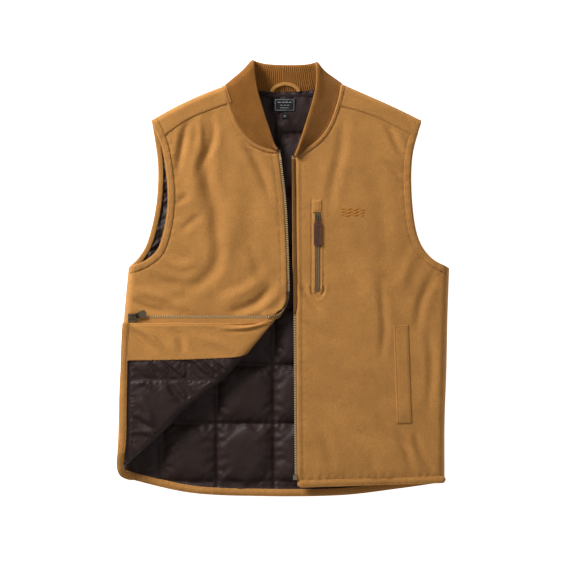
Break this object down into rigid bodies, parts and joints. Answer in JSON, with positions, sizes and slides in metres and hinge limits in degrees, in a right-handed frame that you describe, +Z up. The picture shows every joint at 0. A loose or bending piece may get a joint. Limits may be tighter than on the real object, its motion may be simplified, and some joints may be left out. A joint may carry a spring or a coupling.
{
  "type": "fishing vest",
  "caption": "Sleeveless quilt-lined canvas vest with rib collar, front zip, zipped chest pocket and welted hand pockets, laid flat with one lower front corner folded open.",
  "frame": {"origin": "middle of the bounding box's underside, on the surface that the vest lies on", "axes": "+Z up out of the vest's front, +Y from the hem to the collar, +X towards the wearer's left side"},
  "size_m": [0.581, 0.7611, 0.0396],
  "materials": {
    "canvas": "matt cotton canvas",
    "rib": "matt rib knit",
    "lining": "satin nylon",
    "padding": "soft batting",
    "zip_tape": "woven tape",
    "label": "woven satin",
    "antique_brass": "antique",
    "leather": "oiled",
    "thread": "satin thread"
  },
  "bodies": {
    "vest": {"back_shell": "canvas", "back_fill": "padding", "back_lining": "lining", "shoulder_yoke": "canvas", "front_left_shell": "canvas", "front_left_fill": "padding", "front_left_lining": "lining", "front_left_facing": "canvas", "front_right_shell": "canvas", "front_right_fill": "padding", "front_right_lining": "lining", "front_right_facing": "canvas", "rib_collar": "rib", "neck_tape": "label", "neck_label": "label", "size_tab": "label", "armhole_binding_left": "canvas", "armhole_binding_right": "canvas", "hem_binding_back": "canvas", "hem_binding_front_left": "canvas", "zip_tape_left": "zip_tape", "zip_tape_right": "zip_tape", "zip_teeth_left": "antique_brass", "zip_teeth_right": "antique_brass", "zip_top_stops": "antique_brass", "zip_retainer_box": "antique_brass", "chest_zip_tape": "zip_tape", "chest_zip_teeth": "antique_brass", "chest_zip_stop": "antique_brass", "chest_zip_garage": "canvas", "chest_pocket_bag": "lining", "hand_welt_left": "canvas", "hand_welt_right": "canvas", "hand_pocket_bag_left": "lining", "hand_pocket_bag_right": "lining", "chest_embroidery": "thread"},
    "flap": {"flap_shell": "canvas", "flap_fill": "padding", "flap_lining": "lining", "flap_facing": "canvas", "hem_binding_flap": "canvas", "zip_tape_flap": "zip_tape", "zip_teeth_flap": "antique_brass", "zip_insertion_pin": "antique_brass"},
    "main_slider": {"zip_slider": "antique_brass"},
    "main_pull": {"zip_pull": "antique_brass"},
    "pocket_slider": {"chest_slider": "antique_brass"},
    "pocket_link": {"chest_pull_link": "antique_brass"},
    "pocket_tab": {"chest_pull_tab": "leather"},
    "loop": {"hanger_loop": "canvas"}
  },
  "joints": [
    {"name": "flap_fold", "type": "hinge", "parent": "vest", "child": "flap", "pos_m": [0.012, -0.066, 0.028], "axis": [0.7437, 0.6685, 0], "range_deg": [0, 180]},
    {"name": "main_zip_slide", "type": "slide", "parent": "flap", "child": "main_slider", "axis": [1, 0, 0], "range_m": [0, 0.2]},
    {"name": "main_pull_hinge", "type": "hinge", "parent": "main_slider", "child": "main_pull", "pos_m": [-0.261, -0.0675, 0.0372], "axis": [0.342, -0.9397, 0], "range_deg": [0, 163]},
    {"name": "chest_zip_slide", "type": "slide", "parent": "vest", "child": "pocket_slider", "axis": [0, -1, 0], "range_m": [0, 0.12]},
    {"name": "chest_link_hinge", "type": "hinge", "parent": "pocket_slider", "child": "pocket_link", "pos_m": [0.0595, 0.108, 0.0277], "axis": [-1, 0, 0], "range_deg": [0, 120]},
    {"name": "chest_tab_hinge", "type": "hinge", "parent": "pocket_link", "child": "pocket_tab", "pos_m": [0.0595, 0.099, 0.0277], "axis": [-1, 0, 0], "range_deg": [0, 45]},
    {"name": "hanger_loop_flip", "type": "hinge", "parent": "vest", "child": "loop", "pos_m": [0.0035, 0.328, 0.0095], "axis": [1, 0, 0], "range_deg": [0, 150]}
  ]
}
